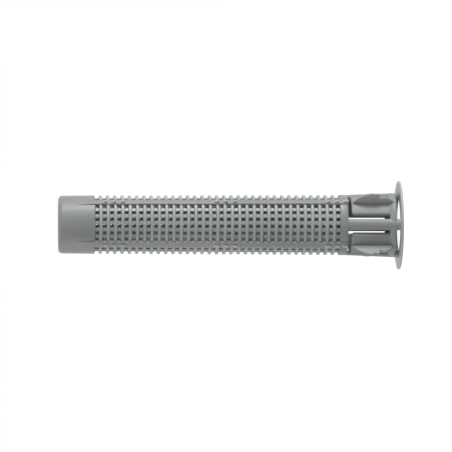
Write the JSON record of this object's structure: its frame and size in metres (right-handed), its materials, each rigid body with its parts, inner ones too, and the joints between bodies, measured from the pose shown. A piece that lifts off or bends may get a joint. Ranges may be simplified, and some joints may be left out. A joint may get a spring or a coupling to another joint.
{
  "type": "injection anchor sleeve",
  "caption": "Perforated plastic tube with a closed end, barbed rails and a slotted, winged neck under a thin flange; holds mortar and a rod in a hollow wall.",
  "frame": {"origin": "centre of the flange's outer face", "axes": "+Z along the tube's axis from the flange to the closed end; +X through the middle of a mesh panel"},
  "size_m": [0.0222, 0.0222, 0.0856],
  "materials": {
    "plastic": "plain grey moulded plastic, slightly satin"
  },
  "bodies": {
    "root": {"sleeve": "plastic"}
  },
  "joints": []
}
